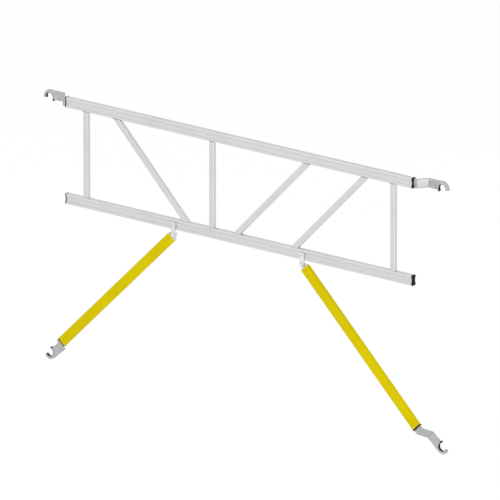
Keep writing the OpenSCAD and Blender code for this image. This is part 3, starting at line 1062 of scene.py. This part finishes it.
def boltShape(name):
    tongueBack = plateBack + bolt["play"] * 2 + bolt["flange"] + bolt["tongue"]
    tip = tongueBack + bolt["washerThick"] + bolt["nutThick"] + bolt["tail"]
    shank = addRod(name, bolt["radius"], plateFront - past, tip, vertices=40)
    editMode()
    choose("FACE", lambda f: f.normal.y > 0.9)
    bpy.ops.mesh.bevel(offset=bolt["tipEdge"], segments=1, affect="EDGES")
    objectMode()
    hexHead = hexPrism("head", bolt["flats"], plateFront - bolt["headThick"], plateFront, True, False)
    return combine(shank, hexHead, "UNION")


def washerShape(name, front):
    ring = addRod(name, bolt["washerRadius"], front, front + bolt["washerThick"])
    editMode()
    choose("FACE", lambda f: abs(f.normal.y) > 0.9)
    bpy.ops.mesh.bevel(offset=bolt["washerEdge"], segments=2, affect="EDGES")
    objectMode()
    hole = addRod("hole", bolt["radius"] + bolt["clearance"], front - past,
                  front + 2 * bolt["washerThick"], vertices=40)
    return combine(ring, hole, "DIFFERENCE")


def nutShape(name, front):
    hexLength = bolt["nutThick"] * bolt["nutHex"]
    nut = hexPrism(name, bolt["flats"], front, front + hexLength, True, True)
    crown = addRod("crown", bolt["flats"] * bolt["nutCrown"], front + past,
                   front + bolt["nutThick"], vertices=64)
    makeActive(crown)
    editMode()
    choose("FACE", lambda f: f.normal.y > 0.9)
    bpy.ops.mesh.bevel(offset=bolt["crownRound"], segments=4, affect="EDGES")
    objectMode()
    combine(nut, crown, "UNION")
    hole = addRod("hole", bolt["radius"] + bolt["threadClearance"], front - past,
                  front + 2 * bolt["nutThick"], vertices=40)
    return combine(nut, hole, "DIFFERENCE")


head = {
    "eye": 12.5 * mm,
    "boreGrowth": 2.56 * mm,
    "edge": 0.8 * mm,
    "rootInset": 2 * mm,
    "flangeThick": 3 * mm,
    "flangeInset": 0.5 * mm,
    "flangeEdge": 0.7 * mm,
    "plugLength": 60 * mm,
    "plugOverlap": 1 * mm,
}


def headTongue(name):
    # the tongue is drawn from the pivot outwards, widening from its eye to the flange
    eye = head["eye"]
    root = strut["start"] - head["rootInset"]
    halfRoot = strut["width"] / 2 - head["rootInset"]
    reach = math.hypot(root, halfRoot)
    touch = math.atan2(halfRoot, root) + math.acos(eye / reach)
    tongue = addRod(name, eye, -bolt["tongue"] / 2, bolt["tongue"] / 2, vertices=72)
    editMode()
    bpy.ops.mesh.select_all(action="SELECT")
    bpy.ops.mesh.bisect(plane_co=(eye * math.cos(touch), 0, 0), plane_no=(1, 0, 0),
                        clear_outer=True, use_fill=True)
    choose("FACE", lambda f: f.normal.x > 0.9
           and abs(f.calc_center_median().x - eye * math.cos(touch)) < near)
    bpy.ops.mesh.extrude_region_move(
        TRANSFORM_OT_translate={"value": (root - eye * math.cos(touch), 0, 0)})
    bpy.ops.transform.resize(value=(1, 1, halfRoot / (eye * math.sin(touch))))
    objectMode()
    cleanUp(tongue)
    softenEdges(tongue, head["edge"], 2, 50)
    halfDepth = strut["depth"] / 2 - head["flangeInset"]
    halfWidth = strut["width"] / 2 - head["flangeInset"]
    flange = addBox("flange", (strut["start"] - head["flangeThick"], -halfDepth, -halfWidth),
                    (strut["start"], halfDepth, halfWidth))
    editMode()
    choose("EDGE", runsAlong(0))
    bpy.ops.mesh.bevel(offset=strut["corner"] - head["flangeInset"], segments=6, affect="EDGES")
    choose("FACE", lambda f: f.normal.x < -0.9)
    bpy.ops.mesh.bevel(offset=head["flangeEdge"], segments=2, affect="EDGES")
    objectMode()
    inside = strut["wall"] + cap["gap"]
    halfDepth, halfWidth = strut["depth"] / 2 - inside, strut["width"] / 2 - inside
    plug = addBox("plug", (strut["start"] - head["plugOverlap"], -halfDepth, -halfWidth),
                  (strut["start"] + head["plugLength"], halfDepth, halfWidth))
    editMode()
    choose("EDGE", runsAlong(0))
    bpy.ops.mesh.bevel(offset=strut["corner"] - strut["wall"], segments=4, affect="EDGES")
    objectMode()
    combine(flange, plug, "UNION")
    combine(tongue, flange, "UNION")
    hole = addRod("hole", bolt["radius"] + head["boreGrowth"], -bolt["tongue"], bolt["tongue"])
    return combine(tongue, hole, "DIFFERENCE")


washerFront = plateBack + 2 * bolt["play"] + bolt["flange"] + bolt["tongue"]
plate = bracketPlate("bracketPlate")
boltPiece = boltShape("bolt")
washer = washerShape("washer", washerFront)
nut = nutShape("nut", washerFront + bolt["washerThick"])
headPiece = headTongue("headTongue")
for piece in (plate, boltPiece, washer, nut, headPiece):
    cleanUp(piece)
atPivot = Matrix.Translation((pivot.x, 0, pivot.z))
for side in sides:
    title = side.title()
    for source, name, node, slotName, finish in (
            (plate, "pivotBracket", "pivot_bracket_", "cast_aluminium", headMetalPaintedLight),
            (boltPiece, "pivotBolt", "pivot_bolt_", "zinc_steel", zincSteel),
            (washer, "pivotWasher", "pivot_washer_", "zinc_steel", zincSteel),
            (nut, "pivotNut", "pivot_nut_", "zinc_steel", zincSteel)):
        hand(copyTo(source, name + title, onSide(side, atPivot)), "frame", slotName, finish,
             node + side)
    hand(copyTo(headPiece, "strutHead" + title, onSide(side, atStrut)), side + "_strut",
         "cast_aluminium", headMetalPaintedLight, "strut_head_" + side)
    bush = frame["nodes"]["pivot_bush_" + side]
    bush.data.materials.clear()
    bush.data.materials.append(greyNylon)
for source in (plate, boltPiece, washer, nut, headPiece):
    bpy.data.objects.remove(source)
print("pivots made")


# Floor, light and camera

studio = {
    "floorHeight": -1.8,
    "floorRadius": 42,
    "floorShades": (0.975, 0.98, 0.985),
    "wallLight": 1.0,
    "cameraTurn": 38.015,
    "cameraRise": 17.7075,
    "lens": 1600,
    "sensor": 36,
    "viewWidth": 2.4605,
    "target": (1.2913, -0.0483, -0.5315),
    "clip": (1, 300),
}
clearSelection()
bpy.ops.mesh.primitive_circle_add(vertices=96, radius=studio["floorRadius"], fill_type="NGON",
                                  location=(topMid.x, topMid.y, studio["floorHeight"]))
floor = nameIt("studioFloor")
darkShade, midShade, lightShade = ((shade,) * 3 for shade in studio["floorShades"])
floorFinish = newFinish("paleFloor", midShade, 0, 0.9)
floorTone = noiseNode(floorFinish, placeNode(floorFinish), 0.6, 2)
join(floorFinish, rampNode(floorFinish, floorTone, [(0.2, darkShade), (0.8, lightShade)]),
     shaderOf(floorFinish).inputs["Base Color"])
shaderOf(floorFinish).inputs["Specular IOR Level"].default_value = 0.1
floor.data.materials.append(floorFinish)

world = bpy.data.worlds.new("studioLight")
bpy.context.scene.world = world
world.use_nodes = True
wall = world.node_tree.nodes["Background"]
wall.inputs["Color"].default_value = (1, 1, 1, 1)
wall.inputs["Strength"].default_value = studio["wallLight"]
bpy.context.scene.view_settings.view_transform = "Standard"

softBoxes = {  # place, size and power of each lamp, all aimed at the middle of the object
    "keyLight": ((-1.5, -6.5, 2.0), 4.0, 60),
    "sideLight": ((6.6, -2.9, -0.7), 3.0, 75),
}
centre = (cadBox[0] + cadBox[1]) / 2
for name, (place, size, power) in softBoxes.items():
    clearSelection()
    bpy.ops.object.light_add(type="AREA", location=place)
    lamp = bpy.context.object
    lamp.name = name
    lamp.data.size = size
    lamp.data.energy = power
    lamp.rotation_euler = (centre - Vector(place)).to_track_quat("-Z", "Y").to_euler()
    lamp.visible_camera = False

turn, rise = math.radians(studio["cameraTurn"]), math.radians(studio["cameraRise"])
away = Vector((math.sin(turn) * math.cos(rise), -math.cos(turn) * math.cos(rise), math.sin(rise)))
clearSelection()
bpy.ops.object.camera_add()
camera = bpy.context.object
camera.name = "studioCamera"
camera.data.sensor_width = studio["sensor"]
camera.data.lens = studio["lens"]
distance = studio["viewWidth"] * studio["lens"] / studio["sensor"]
camera.location = Vector(studio["target"]) + away * distance
camera.rotation_euler = (-away).to_track_quat("-Z", "Y").to_euler()
camera.data.clip_start, camera.data.clip_end = studio["clip"]
bpy.context.scene.camera = camera
clearSelection()
print("studio made")
